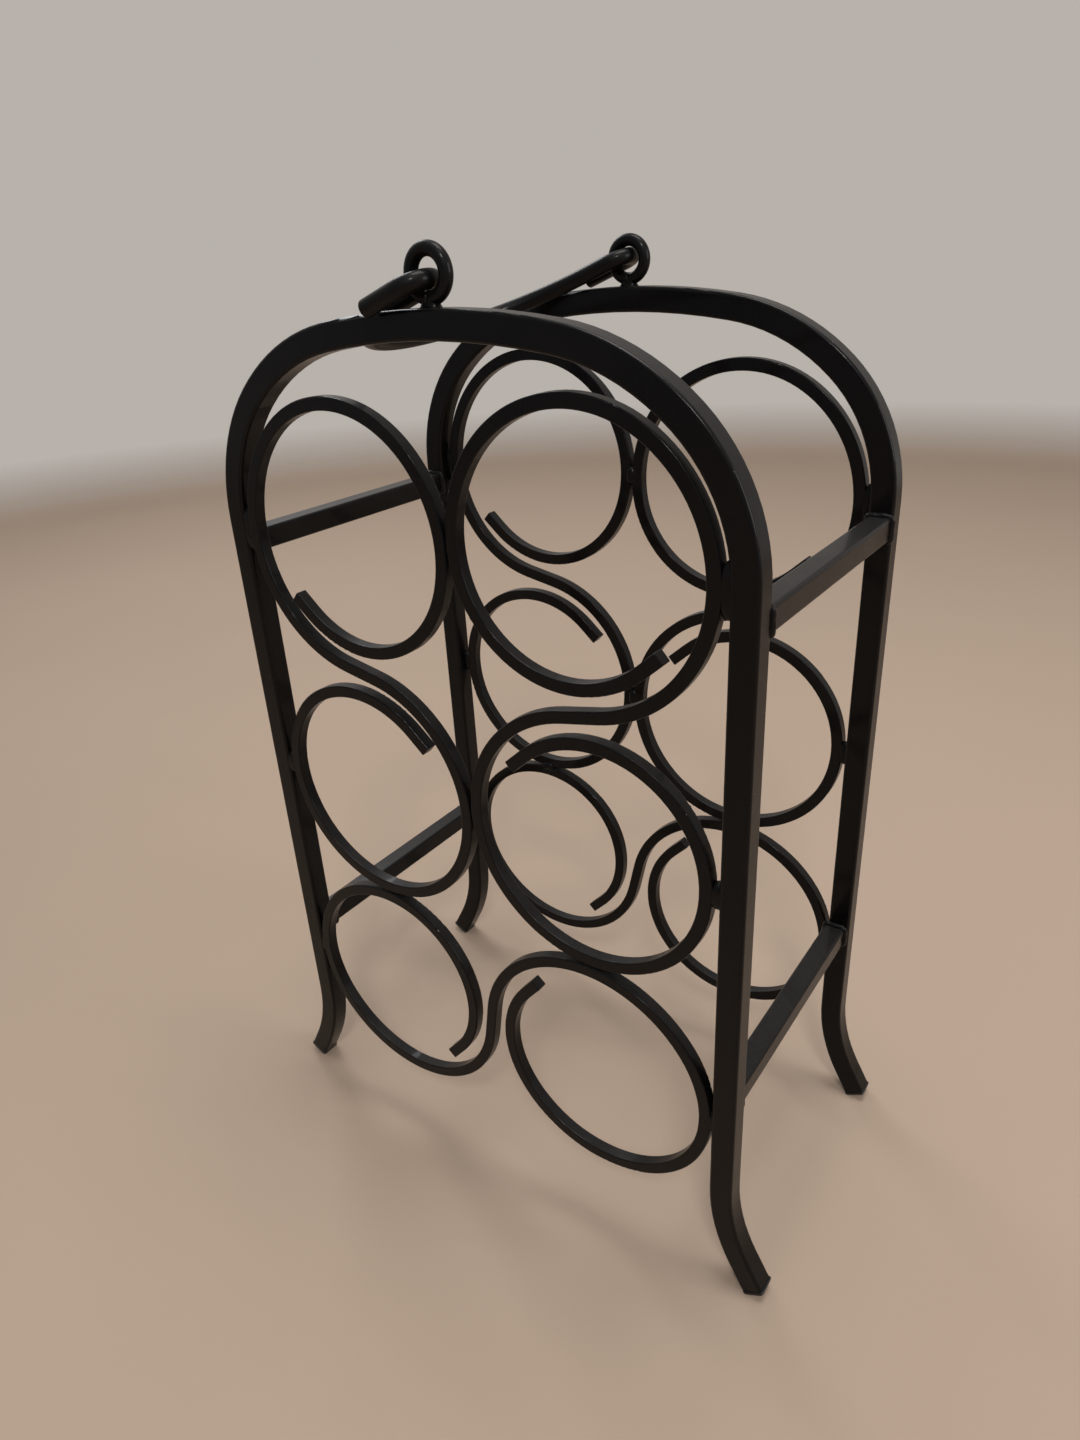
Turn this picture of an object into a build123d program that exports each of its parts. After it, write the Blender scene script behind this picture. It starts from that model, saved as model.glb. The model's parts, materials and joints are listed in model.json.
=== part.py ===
from build123d import *

import os
from math import asin, atan2, cos, degrees, hypot, radians, sin, sqrt

# Scrolls: square bar bent into an S of two rings, each closing into a free curl
scroll_bar = 5.2
scroll_bar_corner = 0.6
scroll_end_edge = 0.4
ring_radius = 53.8  # first arc of a ring, along the middle of the bar
ring_closing = 3.4  # how much tighter the second arc of the ring is
curl_closing = 4.5  # how much tighter again the curl is
crossing_half = 8.05  # half of the straight run between the two rings
crossing_slope = 13.3
ring_turn = 136.6
closing_turn = 133.2
curl_turn = 121.0
curl_tail = 9.5

# Where the scrolls stand in a panel
floor_clearance = 33.6  # under the lower scroll when it lies level
stack_gap = 0.85  # between the lower scroll and the two above it
pair_gap = 0.6  # between the two upright scrolls
end_gap = 0.3  # between an end of the lower scroll and a leg
front_raise = 4.6  # how much higher the right upright scroll of the front panel is
back_raise = -3.0  # the same in the back panel, where the left one is higher

# Arches: square tube, bent through shoulders and haunches to a crown, over two legs with flared feet
bar_width = 10.0
bar_depth = 9.5
bar_corner = 1.3
bar_wall = 1.2
rack_depth = 137.0  # over the outer faces of both arches
crown_radius = 311.0
haunch_radius = 86.9
shoulder_turn = 47.4
shoulder_ease = 6.2  # radial room between a shoulder and the ring under it
spring_rise = 1.85  # from the middle of an upper ring to where the arch starts to curve
flare_radius = 81.0
flare_angle = 28.5
flare_straight = 13.1

# Crossbars: square tube between the two arches
crossbar_size = 9.5
crossbar_corner = 1.3
crossbar_wall = 1.2
upper_crossbar_inset = 0.3  # from the outer face of a leg
lower_crossbar_inset = 1.8
upper_crossbar_drop = 5.3  # from where the arch starts to curve down to the bar
lower_crossbar_rise = 40.8  # from where the foot starts to flare up to the bar

# Foot plugs: plastic caps in the open ends of the legs
plug_flange = 1.5
plug_lip = 0.3
plug_edge = 0.4
plug_spigot = 10.0
plug_clearance = 0.15
plug_wear = 0.7  # depth of the flat on which a plug stands

# Eyelets: closed wire rings standing on the crowns
eyelet_radius = 7.4
eyelet_wire = 4.9
eyelet_seat = 0.3  # from the crown up to the ring

# Handle: a round rod with a hook at each end round an eyelet
handle_rod = 6.4
rod_edge = 0.6
shank_clearance = 1.35  # between a shank and the wire of the eyelet
hook_bend = 7.65  # radius of a hook along the middle of the rod
front_hook_reach = 23.5  # from the pivot to the free end of the hook
back_hook_reach = 27.5
hook_play = 0.3  # left above the back hook and under the front one, inside their eyelets
bail_straight = 18.0  # from the pivot to where the shank starts to bend over
rest_gap = 0.35  # left between the rod and the crowns when the handle is down
rest_samples = 240

# Welds: beads with rounded ends, less the bars that they join
bead_rounding = 0.75  # of the radius, at the ends of a bead
panel_bead_radius = 2.9
panel_bead_length = 8.0
panel_bead_set = 1.0  # from the middle of the scroll bar towards the inside of the rack
crossbar_bead_radius = 1.6
crossbar_bead_set = 0.3  # from the corner of the joint along the crossbar
eyelet_bead_radius = 2.5
eyelet_bead_length = 8.4
eyelet_bead_rise = 0.3

rows = {"front": -1, "back": 1}
sides = {"left": -1, "right": 1}
raises = {"front": front_raise, "back": back_raise}
pieces = {}

# One scroll in its own plane, with its middle at the origin and its rings above and below
closing_radius = ring_radius - ring_closing
curl_radius = closing_radius - curl_closing
with BuildLine() as scroll_path:
    for heading in (-crossing_slope, 180 - crossing_slope):
        crossing = PolarLine((0, 0), crossing_half, heading)
        ring = JernArc(crossing @ 1, crossing % 1, ring_radius, -ring_turn)
        closing = JernArc(ring @ 1, ring % 1, closing_radius, -closing_turn)
        curl = JernArc(closing @ 1, closing % 1, curl_radius, -curl_turn)
        PolarLine(curl @ 1, curl_tail, direction=curl % 1)

scroll_wire = scroll_path.wire()
with BuildPart() as scroll:
    with BuildSketch(Plane(scroll_wire @ 0, x_dir=(0, 0, 1), z_dir=scroll_wire % 0)):
        RectangleRounded(scroll_bar, scroll_bar, scroll_bar_corner)
    sweep(path=scroll_wire)
    for end in (scroll_wire @ 0, scroll_wire @ 1):
        fillet(scroll.faces().sort_by_distance(end)[0].edges(), scroll_end_edge)

# The two arcs of the upper ring as (middle, radius); the lower ring is the same turned half round
first_arc = (ring.center_point, ring_radius)
second_arc = (closing.center_point, closing_radius)

# The lean that brings the sides of both rings in line, and the size of the leaned scroll
middles = ring.center_point + closing.center_point
scroll_lean = degrees(asin(ring_closing / hypot(middles.X, middles.Y)) - atan2(middles.X, middles.Y))
leaned_ring = ring.center_point.rotate(Axis.Z, -scroll_lean)
leaned_closing = closing.center_point.rotate(Axis.Z, -scroll_lean)
scroll_half_width = leaned_closing.X + closing_radius
scroll_half_length = leaned_closing.Y + closing_radius

# Heights and widths of the rack, from the scrolls up
inner_half = scroll_half_length + scroll_bar / 2 + end_gap
half_span = inner_half + bar_width / 2
lower_scroll_height = floor_clearance + scroll_bar / 2 + scroll_half_width
scroll_step = scroll_half_width + scroll_bar + stack_gap + scroll_half_length
upright_scroll_height = lower_scroll_height + scroll_step
upright_scroll_aside = scroll_half_width + (scroll_bar + pair_gap) / 2
spring_height = upright_scroll_height + leaned_ring.Y + spring_rise
shoulder_radius = ring_radius + scroll_bar / 2 + shoulder_ease + bar_width / 2
haunch_shift = Vector(shoulder_radius - haunch_radius, 0).rotate(Axis.Z, shoulder_turn)
haunch_middle = Vector(half_span - shoulder_radius, spring_height) + haunch_shift
crown_middle = haunch_middle.Y - sqrt((crown_radius - haunch_radius) ** 2 - haunch_middle.X**2)
haunch_end = degrees(atan2(haunch_middle.Y - crown_middle, haunch_middle.X))
haunch_turn = haunch_end - shoulder_turn
crown_top = crown_middle + crown_radius + bar_width / 2
arch_aside = (rack_depth - bar_depth) / 2
arch_inner = rack_depth / 2 - bar_depth
scroll_aside = (rack_depth - scroll_bar) / 2

# Foot of a leg: the plug's lower edge reaches below the floor by its wear, and is cut flat there
plug_rise = (bar_width / 2 + plug_lip) * sin(radians(flare_angle)) - plug_wear
foot_height = plug_rise + plug_flange * cos(radians(flare_angle))
flare_height = flare_straight * cos(radians(flare_angle)) + flare_radius * sin(radians(flare_angle))
flare_spread = flare_straight * sin(radians(flare_angle)) + flare_radius * (1 - cos(radians(flare_angle)))
leg_start = foot_height + flare_height


def panel_plane(x, y, z, turn=0.0, facing=1):
    """Upright plane seen from the front, or from behind where facing is -1, turned about its middle."""
    across = (facing * cos(radians(turn)), 0, sin(radians(turn)))
    return Plane(origin=(x, y, z), x_dir=across, z_dir=(0, -facing, 0))


def arch_wire(y):
    """Middle line of an arch from its left foot to its right foot."""
    with BuildLine(panel_plane(0, y, 0)) as path:
        left_foot = PolarLine((-half_span - flare_spread, foot_height), flare_straight, 90 - flare_angle)
        left_flare = JernArc(left_foot @ 1, left_foot % 1, flare_radius, flare_angle)
        left_leg = Line(left_flare @ 1, (-half_span, spring_height))
        left_shoulder = JernArc(left_leg @ 1, left_leg % 1, shoulder_radius, -shoulder_turn)
        left_haunch = JernArc(left_shoulder @ 1, left_shoulder % 1, haunch_radius, -haunch_turn)
        crown = JernArc(left_haunch @ 1, left_haunch % 1, crown_radius, 2 * haunch_end - 180)
        right_haunch = JernArc(crown @ 1, crown % 1, haunch_radius, -haunch_turn)
        right_shoulder = JernArc(right_haunch @ 1, right_haunch % 1, shoulder_radius, -shoulder_turn)
        right_leg = Line(right_shoulder @ 1, (half_span, leg_start))
        right_flare = JernArc(right_leg @ 1, right_leg % 1, flare_radius, flare_angle)
        PolarLine(right_flare @ 1, flare_straight, flare_angle - 90)
    return path.wire()


def tube_section(plane, width, depth, corner, wall=0.0):
    """Section of a tube's outline, or with a wall given, of the hollow inside it."""
    with BuildSketch(plane) as section:
        RectangleRounded(width - 2 * wall, depth - 2 * wall, max(corner - wall, corner / 4))
    return section.sketch


# Arches, each with its filled outline, which the weld beads are cut by
outlines = {}
for panel, row in rows.items():
    wire = arch_wire(row * arch_aside)
    foot_plane = Plane(wire @ 0, x_dir=(0, 1, 0), z_dir=wire % 0)
    with BuildPart() as outline:
        sweep(tube_section(foot_plane, bar_depth, bar_width, bar_corner), path=wire)
    with BuildPart() as arch:
        add(outline.part)
        hollow = tube_section(foot_plane, bar_depth, bar_width, bar_corner, bar_wall)
        sweep(hollow, path=wire, mode=Mode.SUBTRACT)
    outlines[panel] = outline
    pieces[f"{panel}_arch"] = arch

# Crossbars, as (distance aside, height), with their outer faces inside those of the legs
crossbar_reach = half_span + (bar_width - crossbar_size) / 2
crossbar_places = {
    "upper": (crossbar_reach - upper_crossbar_inset, spring_height - upper_crossbar_drop - crossbar_size / 2),
    "lower": (crossbar_reach - lower_crossbar_inset, leg_start + lower_crossbar_rise + crossbar_size / 2),
}
crossbar_outlines = []
for level, (aside, height) in crossbar_places.items():
    for side, sign in sides.items():
        middle_plane = Plane(origin=(sign * aside, 0, height), x_dir=(1, 0, 0), z_dir=(0, 1, 0))
        with BuildPart() as outline:
            section = tube_section(middle_plane, crossbar_size, crossbar_size, crossbar_corner)
            extrude(section, arch_inner, both=True)
        with BuildPart() as crossbar:
            add(outline.part)
            hollow = tube_section(middle_plane, crossbar_size, crossbar_size, crossbar_corner, crossbar_wall)
            extrude(hollow, arch_inner, both=True, mode=Mode.SUBTRACT)
        crossbar_outlines.append(outline)
        pieces[f"{level}_{side}_crossbar"] = crossbar

# Scrolls of a panel: two upright ones facing each other, over one on its side that tilts with their raise
scroll_planes = {}
for panel, row in rows.items():
    y = row * scroll_aside
    lift = raises[panel] / 2
    tilt = degrees(asin(raises[panel] / (leaned_ring.Y + leaned_closing.Y)))
    scroll_planes[panel] = {
        "left": panel_plane(-upright_scroll_aside, y, upright_scroll_height - lift, -scroll_lean),
        "right": panel_plane(upright_scroll_aside, y, upright_scroll_height + lift, -scroll_lean, -1),
        "lower": panel_plane(0, y, lower_scroll_height, 90 - scroll_lean + tilt),
    }
    for place, plane in scroll_planes[panel].items():
        with BuildPart(plane) as placed_scroll:
            add(scroll.part)
        pieces[f"{panel}_{place}_scroll"] = placed_scroll

# Foot plugs: a flange under the end of the tube and a spigot inside it
for panel, row in rows.items():
    for side, sign in sides.items():
        tube_end = Plane(
            origin=(sign * (half_span + flare_spread), row * arch_aside, foot_height),
            x_dir=(0, 1, 0),
            z_dir=(sign * sin(radians(flare_angle)), 0, -cos(radians(flare_angle))),
        )
        with BuildPart() as plug:
            extrude(tube_section(tube_end, bar_depth, bar_width, bar_corner, -plug_lip), plug_flange)
            fillet(plug.faces().sort_by(Axis(tube_end.origin, tube_end.z_dir))[-1].edges(), plug_edge)
            spigot = tube_section(tube_end, bar_depth, bar_width, bar_corner, bar_wall + plug_clearance)
            extrude(spigot, -plug_spigot)
            split(bisect_by=Plane.XY, keep=Keep.TOP)
        pieces[f"{panel}_{side}_foot_plug"] = plug

# Eyelets, standing on the crowns
pivot_height = crown_top + eyelet_seat + eyelet_wire / 2 + eyelet_radius
eyelets = []
for panel, row in rows.items():
    with BuildPart(panel_plane(0, row * arch_aside, pivot_height)) as eyelet:
        Torus(eyelet_radius, eyelet_wire / 2)
    eyelets.append(eyelet)
    pieces[f"{panel}_eyelet"] = eyelet

# Handle in its own plane, X along the pivot and Y away from it
shank_aside = arch_aside - eyelet_wire / 2 - shank_clearance - handle_rod / 2
hook_aside = shank_aside + 2 * hook_bend
with BuildLine() as handle_path:
    front_hook = Line((-hook_aside, front_hook_reach), (-hook_aside, hook_bend))
    front_bend = JernArc(front_hook @ 1, front_hook % 1, hook_bend, 180)
    front_shank = Line(front_bend @ 1, (-shank_aside, bail_straight))
    bail = JernArc(front_shank @ 1, front_shank % 1, shank_aside, -180)
    back_shank = Line(bail @ 1, (shank_aside, hook_bend))
    back_bend = JernArc(back_shank @ 1, back_shank % 1, hook_bend, 180)
    Line(back_bend @ 1, (hook_aside, back_hook_reach))

handle_wire = handle_path.wire()
with BuildPart() as handle_shape:
    with BuildSketch(Plane(handle_wire @ 0, x_dir=(0, 0, 1), z_dir=handle_wire % 0)):
        Circle(handle_rod / 2)
    sweep(path=handle_wire)
    fillet(handle_shape.faces().filter_by(GeomType.PLANE).edges(), rod_edge)

# The play in the eyelets lets the handle lie with its front hook low and its back hook high
hook_sink = eyelet_radius - eyelet_wire / 2 - handle_rod / 2 - hook_play
handle_roll = asin(hook_sink / arch_aside)
pivot_axis = Vector(0, cos(handle_roll), sin(handle_roll))


def handle_plane(drop):
    """Plane of the handle when it lies this far below level."""
    level = Vector(0, -sin(handle_roll), cos(handle_roll)) * cos(radians(drop))
    return Plane(origin=(0, 0, pivot_height), x_dir=pivot_axis, z_dir=level - Vector(sin(radians(drop)), 0, 0))


def gap_to_crown(point):
    """Gap between the rod round a point of the handle and the tube of the crown."""
    above = abs(hypot(point.X, point.Z - crown_middle) - crown_radius) - bar_width / 2 + bar_corner
    beside = abs(abs(point.Y) - arch_aside) - bar_depth / 2 + bar_corner
    return hypot(max(above, 0), max(beside, 0)) - bar_corner - handle_rod / 2


# The handle drops to the left until its rod is a small gap off the crowns
handle_points = [handle_wire @ (i / rest_samples) for i in range(rest_samples + 1)]
handle_drop, too_low = 0.0, 90.0
while too_low - handle_drop > 0.01:
    trial = (handle_drop + too_low) / 2
    lying = handle_plane(trial)
    if min(gap_to_crown(lying.from_local_coords(point)) for point in handle_points) > rest_gap:
        handle_drop = trial
    else:
        too_low = trial

with BuildPart(handle_plane(handle_drop)) as handle:
    add(handle_shape.part)
pieces["handle"] = handle


def bead(length, radius):
    """Weld bead along Z with rounded ends."""
    with BuildPart() as rod:
        Cylinder(radius, length)
        fillet(rod.edges().filter_by(GeomType.CIRCLE), bead_rounding * radius)
    return rod.part


def placed_arc(plane, arc, half):
    """Arc of a scroll in its place, of the upper ring where half is 1 and of the lower where it is -1."""
    middle, radius = arc
    return plane.from_local_coords(middle * half), radius


def ring_to_ring(one, other):
    """Middle of the gap between two rings, and the way across it."""
    across = (other[0] - one[0]).normalized()
    one_edge = one[0] + across * (one[1] + scroll_bar / 2)
    other_edge = other[0] - across * (other[1] + scroll_bar / 2)
    return (one_edge + other_edge) * 0.5, across


def ring_to_leg(ring, sign):
    """Middle of the gap between a ring and the leg beside it, and the way across it."""
    ring_edge = ring[0].X + sign * (ring[1] + scroll_bar / 2)
    return Vector((ring_edge + sign * inner_half) / 2, ring[0].Y, ring[0].Z), Vector(sign, 0, 0)


# Welds of a panel: rings to legs, rings to each other, and the upright scrolls to the lower one
panel_bead = bead(panel_bead_length, panel_bead_radius)
for panel, row in rows.items():
    left, right, lower = scroll_planes[panel].values()
    joints = [
        ring_to_leg(placed_arc(left, first_arc, 1), -1),
        ring_to_leg(placed_arc(left, second_arc, -1), -1),
        ring_to_leg(placed_arc(right, first_arc, 1), 1),
        ring_to_leg(placed_arc(right, second_arc, -1), 1),
        ring_to_leg(placed_arc(lower, second_arc, 1), -1),
        ring_to_leg(placed_arc(lower, second_arc, -1), 1),
        ring_to_ring(placed_arc(left, second_arc, 1), placed_arc(right, second_arc, 1)),
        ring_to_ring(placed_arc(left, first_arc, -1), placed_arc(right, first_arc, -1)),
        ring_to_ring(placed_arc(left, second_arc, -1), placed_arc(lower, second_arc, 1)),
        ring_to_ring(placed_arc(right, second_arc, -1), placed_arc(lower, first_arc, -1)),
    ]
    with BuildPart() as panel_welds:
        for spot, across in joints:
            inset = spot - Vector(0, row * panel_bead_set, 0)
            with Locations(Plane(inset, x_dir=across, z_dir=across.cross(Vector(0, 1, 0)))):
                add(panel_bead)
        for place in scroll_planes[panel]:
            add(pieces[f"{panel}_{place}_scroll"].part, mode=Mode.SUBTRACT)
        add(outlines[panel].part, mode=Mode.SUBTRACT)
    pieces[f"{panel}_panel_welds"] = panel_welds

# Welds of the crossbars: over, under and inside each end
crossbar_bead = bead(crossbar_size - 2 * crossbar_corner + crossbar_bead_radius, crossbar_bead_radius)
with BuildPart() as crossbar_welds:
    for aside, height in crossbar_places.values():
        for sign in sides.values():
            for row in rows.values():
                end = Vector(sign * aside, row * (arch_inner - crossbar_bead_set), height)
                over = end + Vector(0, 0, crossbar_size / 2)
                under = end - Vector(0, 0, crossbar_size / 2)
                inside = end - Vector(sign * crossbar_size / 2, 0, 0)
                with Locations(Plane(over, z_dir=(1, 0, 0)), Plane(under, z_dir=(1, 0, 0)), Plane(inside)):
                    add(crossbar_bead)
    for cutter in (*outlines.values(), *crossbar_outlines):
        add(cutter.part, mode=Mode.SUBTRACT)
pieces["crossbar_welds"] = crossbar_welds

# Welds of the eyelets: a bead along each crown round the foot of the ring
eyelet_bead = bead(eyelet_bead_length, eyelet_bead_radius)
with BuildPart() as eyelet_welds:
    for row in rows.values():
        seat = Plane(origin=(0, row * arch_aside, crown_top + eyelet_bead_rise), z_dir=(1, 0, 0))
        with Locations(seat):
            add(eyelet_bead)
    for cutter in (*outlines.values(), *eyelets):
        add(cutter.part, mode=Mode.SUBTRACT)
pieces["eyelet_welds"] = eyelet_welds

os.makedirs("parts", exist_ok=True)
for name, piece in pieces.items():
    piece.part.label = name
    export_step(piece.part, f"parts/{name}.step")

print(f"pivot height {pivot_height:.3f}, handle drop {handle_drop:.2f}, handle roll {degrees(handle_roll):.3f}")
print(f"leg inner faces {inner_half:.3f}, scroll lean {scroll_lean:.3f}, spring height {spring_height:.3f}")
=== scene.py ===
import json
from math import copysign, cos, pi, radians, sin

import bmesh
import bpy
from mathutils import Euler, Matrix, Vector, noise


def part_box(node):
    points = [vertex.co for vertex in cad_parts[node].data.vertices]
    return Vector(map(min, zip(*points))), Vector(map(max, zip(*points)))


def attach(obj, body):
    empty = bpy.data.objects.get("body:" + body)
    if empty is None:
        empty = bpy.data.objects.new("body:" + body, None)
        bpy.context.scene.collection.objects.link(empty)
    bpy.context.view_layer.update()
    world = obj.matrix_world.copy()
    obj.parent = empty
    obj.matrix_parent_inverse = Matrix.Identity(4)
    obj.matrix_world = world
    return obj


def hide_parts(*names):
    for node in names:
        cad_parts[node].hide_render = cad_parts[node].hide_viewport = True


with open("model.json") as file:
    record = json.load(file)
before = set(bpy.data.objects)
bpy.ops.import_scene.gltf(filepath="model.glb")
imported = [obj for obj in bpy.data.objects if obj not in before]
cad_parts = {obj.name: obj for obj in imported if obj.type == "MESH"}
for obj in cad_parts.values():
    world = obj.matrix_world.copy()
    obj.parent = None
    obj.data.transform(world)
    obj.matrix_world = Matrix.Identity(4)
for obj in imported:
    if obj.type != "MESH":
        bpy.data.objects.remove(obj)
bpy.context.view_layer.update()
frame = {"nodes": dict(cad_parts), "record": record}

# A millimetre in metres, and the ways along X, Y and Z
mm = 0.001
x_way, y_way, z_way = Matrix.Identity(3)
merge_distance = 0.001 * mm

# Camera: the photograph's own view, in the rack's frame, in metres and degrees
camera_place = (0.22606, -0.32282, 0.40222)
camera_turn = (64.289, 2.966, 35.064)
camera_lens_mm = 24.097
camera_sensor_mm = 36.0
camera_clip_start = 0.01

# Stage: a round floor that curves up into a wall, in metres
floor_radius = 1.7
cove_radius = 0.7
wall_height = 2.4
stage_steps = 96
cove_steps = 14
stage_merge_distance = 0.00001
floor_colour = (0.50, 0.39, 0.305)
floor_tones = (0.97, 1.0)
floor_tone_noise = (3.0, 3.0)
stage_roughness = 0.85
stage_specular = 0.15

# The wall goes from the near to the far colour along Y, and the floor turns into it over the fade height
near_wall_colour = (0.29, 0.285, 0.295)
far_wall_colour = (0.48, 0.445, 0.41)
near_wall_ends = -1.6
far_wall_starts = 0.6
wall_fade_height = 0.07

# Lamps: place, aim, size, power in watts and colour
rack_middle = (0.0, 0.0, 0.2)
lamps = {
    "overhead": ((0.1, 0.2, 2.1), rack_middle, 0.9, 18.0, (1.0, 0.97, 0.94)),
    "key": ((0.9, -1.3, 1.9), rack_middle, 0.35, 14.0, (1.0, 0.96, 0.92)),
    "right_side": ((1.5, 0.25, 0.8), rack_middle, 0.7, 7.0, (1.0, 0.97, 0.95)),
    "left_rim": ((-1.2, 0.7, 1.3), rack_middle, 0.5, 6.0, (0.95, 0.97, 1.0)),
}
world_colour = (0.49, 0.49, 0.49)
world_strength = 0.6

# Coats: dark and light tone, lowest and highest roughness, depth of the orange peel and share of the pale
# film on upward faces, which is part dust and part painted sheen
coats = {
    "bar_coat": ((0.0026, 0.0024, 0.0027), (0.0046, 0.0043, 0.0047), (0.26, 0.36), 0.03 * mm, 0.24),
    "rod_coat": ((0.0028, 0.0027, 0.0030), (0.0050, 0.0048, 0.0052), (0.40, 0.48), 0.02 * mm, 0.14),
    "weld_coat": ((0.0026, 0.0024, 0.0027), (0.0050, 0.0046, 0.0049), (0.26, 0.38), 0.06 * mm, 0.15),
}

# Finish of the coats. A noise is its scale per metre, its detail and, where it isn't a half, its roughness
tone_noise = (38.0, 5.0, 0.6)
tone_span = (0.3, 0.7)
gloss_tone_span = (0.25, 0.75)
grain_noise = (2600.0, 2.0)
grain_span = (0.3, 0.7)
grain_roughness = 0.03
peel_noise = (760.0, 3.0, 0.55)
peel_strength = 0.5
wave_noise = (70.0, 2.0)
wave_depth = 0.4 * mm
wave_strength = 0.12
coat_specular = 0.12
clear_coat_weight = 0.15
clear_coat_roughness = 0.07
clear_coat_ior = 1.45

# Pale film and dust specks: the film, part dust and part painted sheen that lightens the tops, goes where a
# face points up enough, with its unevenness; specks are dust, as scale, size and share of cells
film_slope = (0.45, 1.0)
film_noise = (900.0, 6.0, 0.7)
film_noise_span = (0.35, 0.7)
film_shares = (0.5, 1.0)
dust_and_sheen_colour = (0.085, 0.082, 0.080, 1.0)
speck_slope = (0.1, 0.8)
speck_pattern = (300.0, 0.075, 0.22)
speck_colour = (0.20, 0.19, 0.18, 1.0)
film_and_speck_roughness = 0.4

# Plastic of the plugs, with scuffs
plastic_grain_noise = (3200.0, 2.0)
plastic_grain_depth = 0.06 * mm
plastic_grain_strength = 0.5
plastic_colour = (0.007, 0.007, 0.008, 1.0)
plastic_roughness = (0.34, 0.6)
scuff_noise = (420.0, 6.0, 0.7)
scuff_span = (0.55, 0.8)
scuff_most = 0.6
scuff_colour = (0.04, 0.037, 0.035, 1.0)

# Weld beads: lumps are a share of a bead's radius, and a power of 2 makes a round section
lump_pitch = 2.2 * mm
bead_sides = 18
bead_power = 2.0
panel_bead_rings = 22
panel_bead_lump = 0.12
bead_end_power = 3.4
bead_end_fullness = 2.2
bead_end_inset = 0.35
crossbar_bead_steps = 112
crossbar_bead_set = 0.5 * mm
crossbar_bead_inner = 1.55 * mm
crossbar_bead_outer = 1.4 * mm
crossbar_bead_lump = 0.16
crossbar_power = 7.0

# Beads between the rings and the legs: longer, squarer and nearly flush with the outer face
upper_ring_from = 250 * mm
leg_bead_stretch = {"upper": 2.4, "lower": 1.4}
leg_bead_out = 0.55 * mm
leg_bead_power = 5.0
leg_bead_sides = 32
leg_bead_lump = 0.05

# Webs under the eyelets: height over the crown, half width along the crown and half depth across it
web_profile_mm = (
    (-0.9, 4.9, 3.0),
    (-0.2, 4.5, 2.8),
    (0.2, 4.0, 2.6),
    (0.8, 3.5, 2.45),
    (1.6, 3.15, 2.4),
    (2.6, 2.9, 2.3),
    (3.6, 2.5, 2.0),
    (4.2, 1.6, 1.3),
)
web_steps = 96
web_power = 2.6
web_lump = 0.10 * mm
web_lump_offset = 50.0

# Seam of an eyelet: a bead round the wire, lower on top, where the hook rides
seam_bead = 0.55 * mm
seam_wear = 0.8
seam_steps = 48

# Foot plugs: width of the tube and lean of the foot
bar_width = 10.0 * mm
foot_lean = radians(28.5)
plug_steps = 72
plug_power = 9.0

# Layers of a plug from the top down: distance past the end of the tube, and growth past its faces
plug_layers_mm = (
    (-4.0, -1.6),
    (0.05, -1.5),
    (0.12, -0.35),
    (0.22, 0.1),
    (0.42, 0.3),
    (1.0, 0.3),
    (1.3, 0.12),
    (1.45, -0.35),
    (1.5, -1.6),
)

# How the flange of each plug sits: tilt in degrees, drop from the tube and shift outward in mm
plug_seats = {
    "front_left": (0.6, 0.0, 0.0),
    "front_right": (-5.0, 0.25, 0.15),
    "back_left": (0.4, 0.0, 0.0),
    "back_right": (-1.2, 0.05, 0.0),
}
neck_seat = (0.0, 0.0, 0.0)


class Graph:
    """Node tree of a material, with short calls to add nodes and join them."""

    def __init__(self, name):
        self.material = bpy.data.materials.new(name)
        self.material.use_nodes = True
        self.tree = self.material.node_tree
        self.shader = self.tree.nodes["Principled BSDF"]

    def add(self, kind, inputs=None, **settings):
        node = self.tree.nodes.new(kind)
        for key, value in settings.items():
            setattr(node, key, value)
        for key, value in (inputs or {}).items():
            self.feed(node.inputs[key], value)
        return node

    def feed(self, socket, value):
        if isinstance(value, bpy.types.NodeSocket):
            self.tree.links.new(value, socket)
        else:
            socket.default_value = value

    def noise(self, where, scale, detail=2.0, roughness=0.5):
        inputs = {"Vector": where, "Scale": scale, "Detail": detail, "Roughness": roughness}
        return self.add("ShaderNodeTexNoise", inputs).outputs["Fac"]

    def remap(self, value, low, high, to_low=0.0, to_high=1.0):
        inputs = {"Value": value, "From Min": low, "From Max": high, "To Min": to_low, "To Max": to_high}
        return self.add("ShaderNodeMapRange", inputs).outputs["Result"]

    def math(self, operation, one, other=0.0):
        return self.add("ShaderNodeMath", {0: one, 1: other}, operation=operation).outputs[0]

    def mix(self, share, one, other):
        node = self.add("ShaderNodeMix", data_type="RGBA")
        for key, value in ((0, share), (6, one), (7, other)):
            self.feed(node.inputs[key], value)
        return node.outputs[2]

    def specks(self, where, scale, size, share):
        """Dots of this size in cells, in this share of the cells."""
        cells = self.add("ShaderNodeTexVoronoi", {"Vector": where, "Scale": scale, "Randomness": 1.0})
        near = self.remap(cells.outputs["Distance"], size, size / 2)
        chance = self.add("ShaderNodeSeparateXYZ", {0: cells.outputs["Color"]}).outputs["X"]
        return self.math("MULTIPLY", near, self.math("LESS_THAN", chance, share))

    def bump(self, height, depth, strength, under=None):
        inputs = {"Height": height, "Distance": depth, "Strength": strength}
        if under is not None:
            inputs["Normal"] = under
        return self.add("ShaderNodeBump", inputs).outputs["Normal"]


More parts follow.
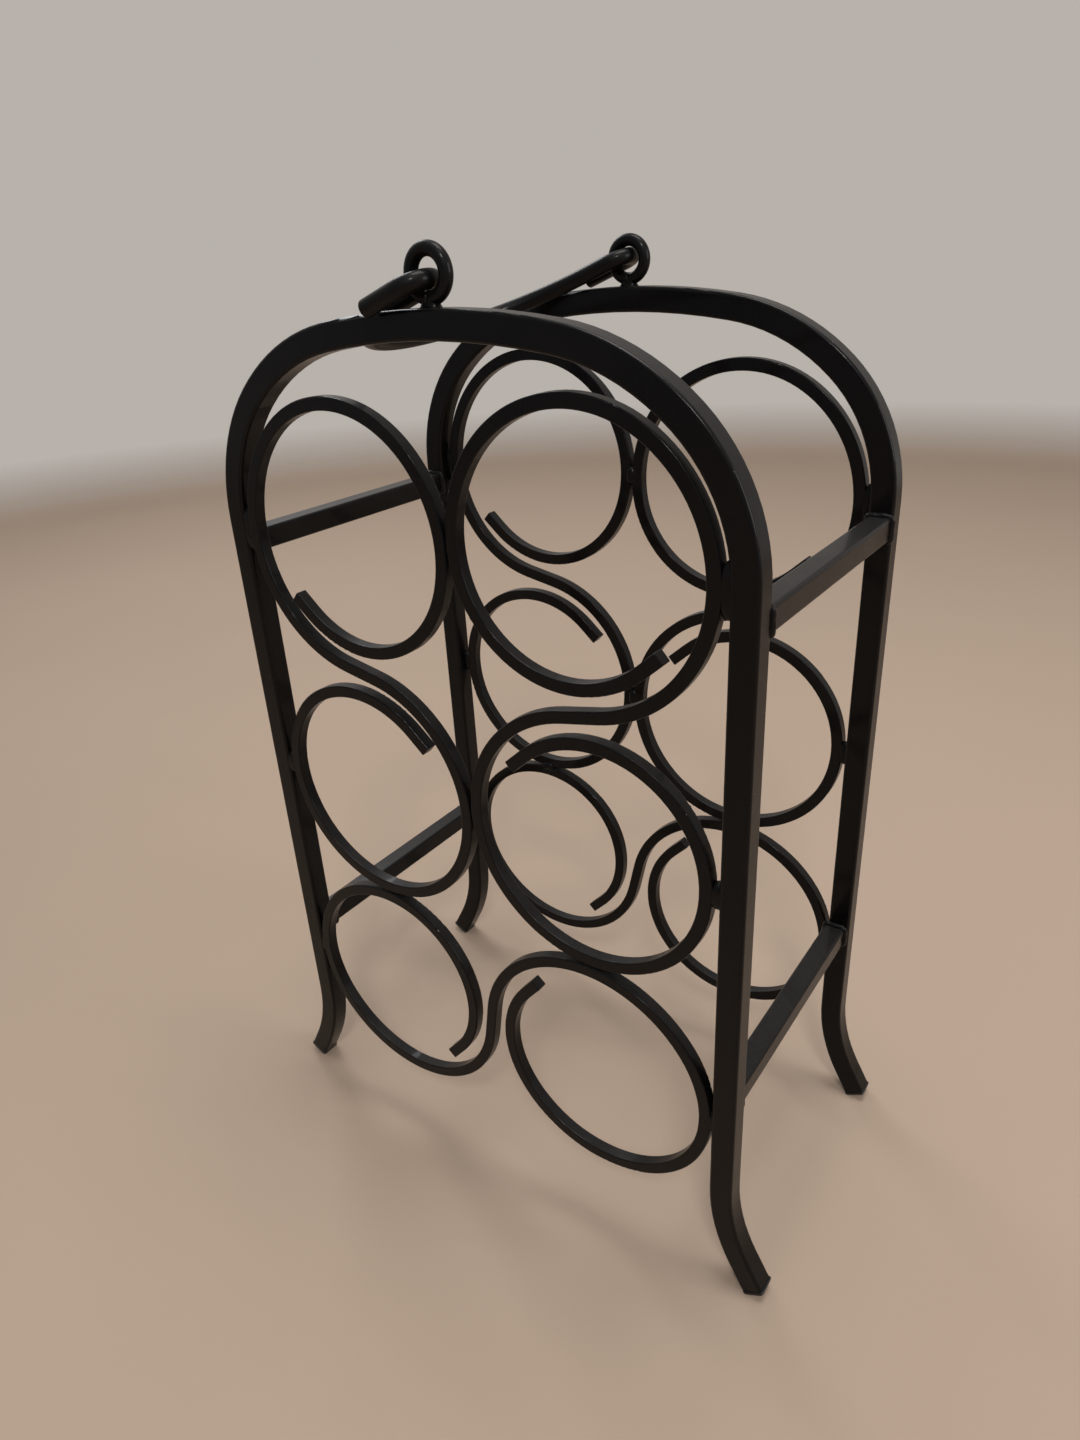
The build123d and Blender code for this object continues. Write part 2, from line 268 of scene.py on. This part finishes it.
def coated_metal(name, dark, light, rough, peel_depth, film):
    """Black powder coat: orange peel, slow changes of tone and gloss, dust specks, and a pale film on what
    faces up that is part dust and part painted sheen.
    """
    graph = Graph(name)
    shader = graph.shader.inputs
    place = graph.add("ShaderNodeTexCoord")
    where, facing = place.outputs["Object"], place.outputs["Normal"]
    tone = graph.noise(where, *tone_noise)
    grain = graph.noise(where, *grain_noise)
    peel = graph.noise(where, *peel_noise)
    wave = graph.noise(where, *wave_noise)
    upward = graph.add("ShaderNodeSeparateXYZ", {0: facing}).outputs["Z"]
    lying = graph.remap(upward, *film_slope)
    fine = graph.remap(graph.noise(where, *film_noise), *film_noise_span, *film_shares)
    # Pale film on upward faces: part dust, part painted sheen that lightens the tops
    dust_and_sheen_film = graph.math("MULTIPLY", graph.math("MULTIPLY", lying, fine), film)
    dots = graph.specks(where, *speck_pattern)
    specks = graph.math("MULTIPLY", dots, graph.remap(upward, *speck_slope))
    coat = graph.mix(graph.remap(tone, *tone_span), (*dark, 1.0), (*light, 1.0))
    dust_and_sheen_coat = graph.mix(dust_and_sheen_film, coat, dust_and_sheen_colour)
    graph.feed(shader["Base Color"], graph.mix(specks, dust_and_sheen_coat, speck_colour))
    slow = graph.remap(tone, *gloss_tone_span, *rough)
    quick = graph.remap(grain, *grain_span, -grain_roughness, grain_roughness)
    matt = graph.math("MULTIPLY", graph.math("ADD", dust_and_sheen_film, specks), film_and_speck_roughness)
    graph.feed(shader["Roughness"], graph.math("ADD", graph.math("ADD", slow, quick), matt))
    waves = graph.bump(wave, wave_depth, wave_strength)
    graph.feed(shader["Normal"], graph.bump(peel, peel_depth, peel_strength, waves))
    shader["Specular IOR Level"].default_value = coat_specular
    shader["Coat Weight"].default_value = clear_coat_weight
    shader["Coat Roughness"].default_value = clear_coat_roughness
    shader["Coat IOR"].default_value = clear_coat_ior
    return graph.material


def moulded_plastic(name):
    """Black plastic with a fine grain and paler, duller scuffs."""
    graph = Graph(name)
    shader = graph.shader.inputs
    where = graph.add("ShaderNodeTexCoord").outputs["Object"]
    grain = graph.noise(where, *plastic_grain_noise)
    scuff = graph.remap(graph.noise(where, *scuff_noise), *scuff_span, 0.0, scuff_most)
    graph.feed(shader["Base Color"], graph.mix(scuff, plastic_colour, scuff_colour))
    graph.feed(shader["Roughness"], graph.remap(scuff, 0.0, 1.0, *plastic_roughness))
    graph.feed(shader["Normal"], graph.bump(grain, plastic_grain_depth, plastic_grain_strength))
    return graph.material


def stage_surface(name):
    """Pale matte floor, and a wall that is pale behind the rack and greyer in front of it."""
    graph = Graph(name)
    where = graph.add("ShaderNodeTexCoord").outputs["Object"]
    place = graph.add("ShaderNodeSeparateXYZ", {0: where}).outputs
    tone = graph.remap(graph.noise(where, *floor_tone_noise), *tone_span, *floor_tones)
    floor = graph.mix(tone, (0.0, 0.0, 0.0, 1.0), (*floor_colour, 1.0))
    behind = graph.remap(place["Y"], near_wall_ends, far_wall_starts)
    wall = graph.mix(behind, (*near_wall_colour, 1.0), (*far_wall_colour, 1.0))
    rising = graph.remap(place["Z"], 0.0, wall_fade_height)
    graph.feed(graph.shader.inputs["Base Color"], graph.mix(rising, floor, wall))
    graph.shader.inputs["Roughness"].default_value = stage_roughness
    graph.shader.inputs["Specular IOR Level"].default_value = stage_specular
    rays = graph.add("ShaderNodeLightPath").outputs
    seen = graph.math("MAXIMUM", rays["Is Camera Ray"], rays["Is Glossy Ray"])
    seen = graph.math("MAXIMUM", seen, rays["Is Transmission Ray"])
    glow = graph.add("ShaderNodeEmission", {"Color": wall}).outputs["Emission"]
    lit = graph.add("ShaderNodeMixShader", {0: graph.math("MULTIPLY", rising, seen)})
    graph.feed(lit.inputs[1], graph.shader.outputs["BSDF"])
    graph.feed(lit.inputs[2], glow)
    graph.feed(graph.tree.nodes["Material Output"].inputs["Surface"], lit.outputs["Shader"])
    return graph.material


slot_materials = {slot: coated_metal(slot, *settings) for slot, settings in coats.items()}
slot_materials["plug_plastic"] = moulded_plastic("plug_plastic")

# Every node of the frame takes the finish of its slot
for part in frame["record"]["subparts"]:
    node = frame["nodes"][part["node"]]
    node.data.materials.clear()
    node.data.materials.append(slot_materials[part["material_slot"]])


def skin(shape, rings, closed=False):
    """Joins rings of points with faces. An open row of rings gets a cap at each end."""
    rows = [[shape.verts.new(point) for point in ring] for ring in rings]
    following = rows[1:] + rows[:1] if closed else rows[1:]
    for one, other in zip(rows, following):
        for i in range(len(one)):
            shape.faces.new((one[i - 1], one[i], other[i], other[i - 1]))
    if not closed:
        shape.faces.new(rows[0])
        shape.faces.new(rows[-1])


def circle(middle, one_way, other_way, radius, sides):
    """Ring of points round a middle, in the plane of two ways."""
    turns = [2 * pi * i / sides for i in range(sides)]
    return [middle + radius * (cos(turn) * one_way + sin(turn) * other_way) for turn in turns]


def lumpy(points, share):
    """Points of a ring moved out or in from its middle by slow noise."""
    middle = sum(points, Vector()) / len(points)
    return [middle + (point - middle) * (1 + share * noise.noise(point / lump_pitch)) for point in points]


def wander(point):
    """Slow noise at a point, as a vector: three samples of it, far apart."""
    spot = point / lump_pitch
    return Vector([noise.noise(spot + web_lump_offset * way) for way in (x_way, y_way, z_way)])


def square_ring(sides, half_one, half_other, power):
    """Points round a square with rounded corners, as (one way, other way). More power makes it squarer."""
    for i in range(sides):
        turn = 2 * pi * i / sides
        reach = (abs(cos(turn)) ** power + abs(sin(turn)) ** power) ** (-1 / power)
        yield half_one * reach * cos(turn), half_other * reach * sin(turn)


def solids(node):
    """Boxes of the separate solids in a node, as (lowest corner, highest corner)."""
    shape = bmesh.new()
    shape.from_mesh(frame["nodes"][node].data)
    bmesh.ops.remove_doubles(shape, verts=shape.verts, dist=merge_distance)
    seen = set()
    boxes = []
    for start in shape.verts:
        if start in seen:
            continue
        seen.add(start)
        group = [start]
        for vert in group:
            for edge in vert.link_edges:
                other = edge.other_vert(vert)
                if other not in seen:
                    seen.add(other)
                    group.append(other)
        spread = [sorted(vert.co[axis] for vert in group) for axis in range(3)]
        boxes.append((Vector([line[0] for line in spread]), Vector([line[-1] for line in spread])))
    shape.free()
    return boxes


def add_piece(name, shape, slot, *nodes):
    """Smooth piece of the rack that stands for these nodes."""
    bmesh.ops.recalc_face_normals(shape, faces=shape.faces)
    for face in shape.faces:
        face.smooth = True
    mesh = bpy.data.meshes.new(name)
    shape.to_mesh(mesh)
    shape.free()
    mesh.materials.append(slot_materials[slot])
    piece = bpy.data.objects.new(name, mesh)
    bpy.context.scene.collection.objects.link(piece)
    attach(piece, "rack")
    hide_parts(*nodes)


def add_panel_beads(panel):
    """Beads from ring to leg and from ring to ring, each where the node has one."""
    shape = bmesh.new()
    for low, high in solids(f"{panel}_panel_welds"):
        middle, size = (low + high) / 2, high - low
        radius = size.y / 2
        along, across = (x_way, z_way) if size.x > size.z else (z_way, x_way)
        half = max(size.x, size.z) / 2
        sides, power, lump = bead_sides, bead_power, panel_bead_lump
        at_leg = along == z_way and abs(middle.x) > 2 * radius
        if at_leg:
            sides, power, lump = leg_bead_sides, leg_bead_power, leg_bead_lump
            middle.x = copysign(min(abs(low.x), abs(high.x)) + radius, middle.x)
            middle.y += copysign(leg_bead_out, middle.y)
            half *= leg_bead_stretch["upper" if middle.z > upper_ring_from else "lower"]
        rings = []
        for i in range(panel_bead_rings + 1):
            share = -cos(pi * (i + bead_end_inset) / (panel_bead_rings + 2 * bead_end_inset))
            wide = radius * (1 - abs(share) ** bead_end_power) ** (1 / bead_end_fullness)
            spot = middle + half * share * along
            ring = [spot + across * a + y_way * b for a, b in square_ring(sides, wide, wide, power)]
            rings.append(lumpy(ring, lump))
        skin(shape, rings)
    add_piece(f"{panel}_panel_weld_beads", shape, "weld_coat", f"{panel}_panel_welds")


def add_crossbar_beads():
    """A bead all round both ends of each crossbar, thinner on the outside of the rack."""
    shape = bmesh.new()
    for level in ("upper", "lower"):
        for side, sign in (("left", -1), ("right", 1)):
            low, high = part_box(f"{level}_{side}_crossbar")
            middle, half = (low + high) / 2, (high - low) / 2
            for row in (-1, 1):
                rings = []
                for x, z in square_ring(crossbar_bead_steps, half.x, half.z, crossbar_power):
                    away_x = copysign(abs(x / half.x) ** (crossbar_power - 1), x)
                    away_z = copysign(abs(z / half.z) ** (crossbar_power - 1), z)
                    away = Vector((away_x, 0, away_z)).normalized()
                    outside = max(0.0, sign * away.x)
                    wide = crossbar_bead_inner + (crossbar_bead_outer - crossbar_bead_inner) * outside
                    spot = middle + Vector((x, row * (half.y - crossbar_bead_set), z))
                    rings.append(lumpy(circle(spot, away, y_way, wide, bead_sides), crossbar_bead_lump))
                skin(shape, rings, closed=True)
    add_piece("crossbar_weld_beads", shape, "weld_coat", "crossbar_welds")


def add_eyelet_webs():
    """Under each eyelet a web that narrows upward, and a bead round the wire where its ends meet."""
    shape = bmesh.new()
    for panel in ("front", "back"):
        low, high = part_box(f"{panel}_eyelet")
        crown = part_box(f"{panel}_arch")[1].z
        foot = Vector(((low.x + high.x) / 2, (low.y + high.y) / 2, crown))
        wire = (high.y - low.y) / 2
        rings = []
        for rise, half_width, half_depth in web_profile_mm:
            outline = square_ring(web_steps, half_width * mm, half_depth * mm, web_power)
            ring = [foot + Vector((x, y, rise * mm)) for x, y in outline]
            rings.append([point + web_lump * wander(point) for point in ring])
        skin(shape, rings)
        wire_middle = Vector((foot.x, foot.y, low.z + wire))
        rings = []
        for spot in circle(wire_middle, y_way, z_way, wire, seam_steps):
            away = (spot - wire_middle).normalized()
            wide = seam_bead * (1 - seam_wear * max(0.0, away.z))
            rings.append(lumpy(circle(spot, away, x_way, wide, bead_sides), crossbar_bead_lump))
        skin(shape, rings, closed=True)
    add_piece("eyelet_weld_webs", shape, "weld_coat", "eyelet_welds")


def add_foot_plug(panel, side, sign):
    """Plug in the open end of a leg: a rounded flange under a neck, cut flat where it stands."""
    low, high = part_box(f"{panel}_arch")
    depth = high.y - low.y
    foot_x = (high.x if sign > 0 else low.x) - sign * bar_width / 2 * cos(foot_lean)
    tube_end = Vector((foot_x, (low.y + high.y) / 2, low.z + bar_width / 2 * sin(foot_lean)))
    down = Vector((sign * sin(foot_lean), 0, -cos(foot_lean)))
    out = Vector((sign * cos(foot_lean), 0, sin(foot_lean)))
    shape = bmesh.new()
    rings = []
    for past, grow in plug_layers_mm:
        tilt, drop, shift = plug_seats[f"{panel}_{side}"] if past > 0 else neck_seat
        lean = radians(tilt)
        layer_out = (out * cos(lean) + down * sin(lean)).normalized()
        layer_middle = tube_end + down * (past + drop) * mm + out * shift * mm
        half_depth, half_width = depth / 2 + grow * mm, bar_width / 2 + grow * mm
        ring = [
            layer_middle + Vector((0, y, 0)) + layer_out * across
            for y, across in square_ring(plug_steps, half_depth, half_width, plug_power)
        ]
        rings.append([Vector((point.x, point.y, max(point.z, 0.0))) for point in ring])
    skin(shape, rings)
    bmesh.ops.remove_doubles(shape, verts=shape.verts, dist=merge_distance)
    add_piece(f"{panel}_{side}_plug", shape, "plug_plastic", f"{panel}_{side}_foot_plug")


def add_stage():
    """Round floor and wall, as one turned surface."""
    outline = [(0.0, 0.0), (floor_radius, 0.0)]
    for step in range(1, cove_steps + 1):
        turn = pi / 2 * step / cove_steps
        outline.append((floor_radius + cove_radius * sin(turn), cove_radius * (1 - cos(turn))))
    outline.append((floor_radius + cove_radius, wall_height))
    surface = bmesh.new()
    points = [surface.verts.new((across, 0.0, up)) for across, up in outline]
    edges = [surface.edges.new(pair) for pair in zip(points, points[1:])]
    bmesh.ops.spin(
        surface,
        geom=points + edges,
        axis=(0, 0, 1),
        cent=(0, 0, 0),
        angle=2 * pi,
        steps=stage_steps,
        use_merge=True,
    )
    bmesh.ops.remove_doubles(surface, verts=surface.verts, dist=stage_merge_distance)
    for face in surface.faces:
        face.smooth = True
    mesh = bpy.data.meshes.new("stage")
    surface.to_mesh(mesh)
    surface.free()
    mesh.materials.append(stage_surface("stage_surface"))
    stage = bpy.data.objects.new("stage", mesh)
    bpy.context.scene.collection.objects.link(stage)


def add_lamp(name, place, aim, size, power, colour):
    """Square soft lamp that points at its aim."""
    lamp = bpy.data.lights.new(name, "AREA")
    lamp.size = size
    lamp.energy = power
    lamp.color = colour
    holder = bpy.data.objects.new(name, lamp)
    holder.location = place
    holder.rotation_euler = (Vector(aim) - Vector(place)).to_track_quat("-Z", "Y").to_euler()
    bpy.context.scene.collection.objects.link(holder)


def add_world():
    """Even light from all round."""
    world = bpy.data.worlds.new("studio")
    world.use_nodes = True
    background = world.node_tree.nodes["Background"]
    background.inputs["Color"].default_value = (*world_colour, 1.0)
    background.inputs["Strength"].default_value = world_strength
    bpy.context.scene.world = world


def add_camera():
    """Camera at the photograph's viewing angle."""
    lens = bpy.data.cameras.new("camera")
    lens.lens = camera_lens_mm
    lens.sensor_width = camera_sensor_mm
    lens.clip_start = camera_clip_start
    camera = bpy.data.objects.new("camera", lens)
    camera.location = camera_place
    camera.rotation_euler = Euler([radians(angle) for angle in camera_turn])
    bpy.context.scene.collection.objects.link(camera)
    bpy.context.scene.camera = camera


for panel in ("front", "back"):
    add_panel_beads(panel)
    for side, sign in (("left", -1), ("right", 1)):
        add_foot_plug(panel, side, sign)
add_crossbar_beads()
add_eyelet_webs()
add_stage()
for lamp_name, settings in lamps.items():
    add_lamp(lamp_name, *settings)
add_world()
add_camera()
bpy.context.scene.view_settings.view_transform = "Standard"
